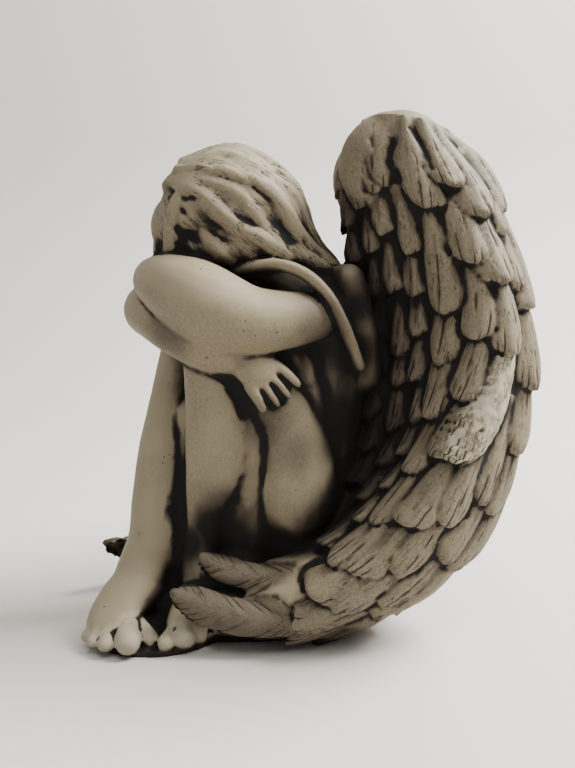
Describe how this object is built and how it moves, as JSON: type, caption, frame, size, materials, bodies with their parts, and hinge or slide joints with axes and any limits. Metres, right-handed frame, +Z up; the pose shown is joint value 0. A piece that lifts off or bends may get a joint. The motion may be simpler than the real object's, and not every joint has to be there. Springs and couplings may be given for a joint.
{
  "type": "angel figurine",
  "caption": "Seated angel in cast stone, head laid on crossed arms over drawn-up knees, with tall cupped wings whose feathers sweep round to the ground; flat underside.",
  "frame": {"origin": "centre of the bounding box's bottom face, on the surface that the figurine stands on", "axes": "+Z up; the angel faces -Y, and her left side is +X"},
  "size_m": [0.132, 0.1788, 0.2],
  "materials": {
    "cast_stone": null
  },
  "bodies": {
    "root": {"angel_figurine": "cast_stone"}
  },
  "joints": []
}
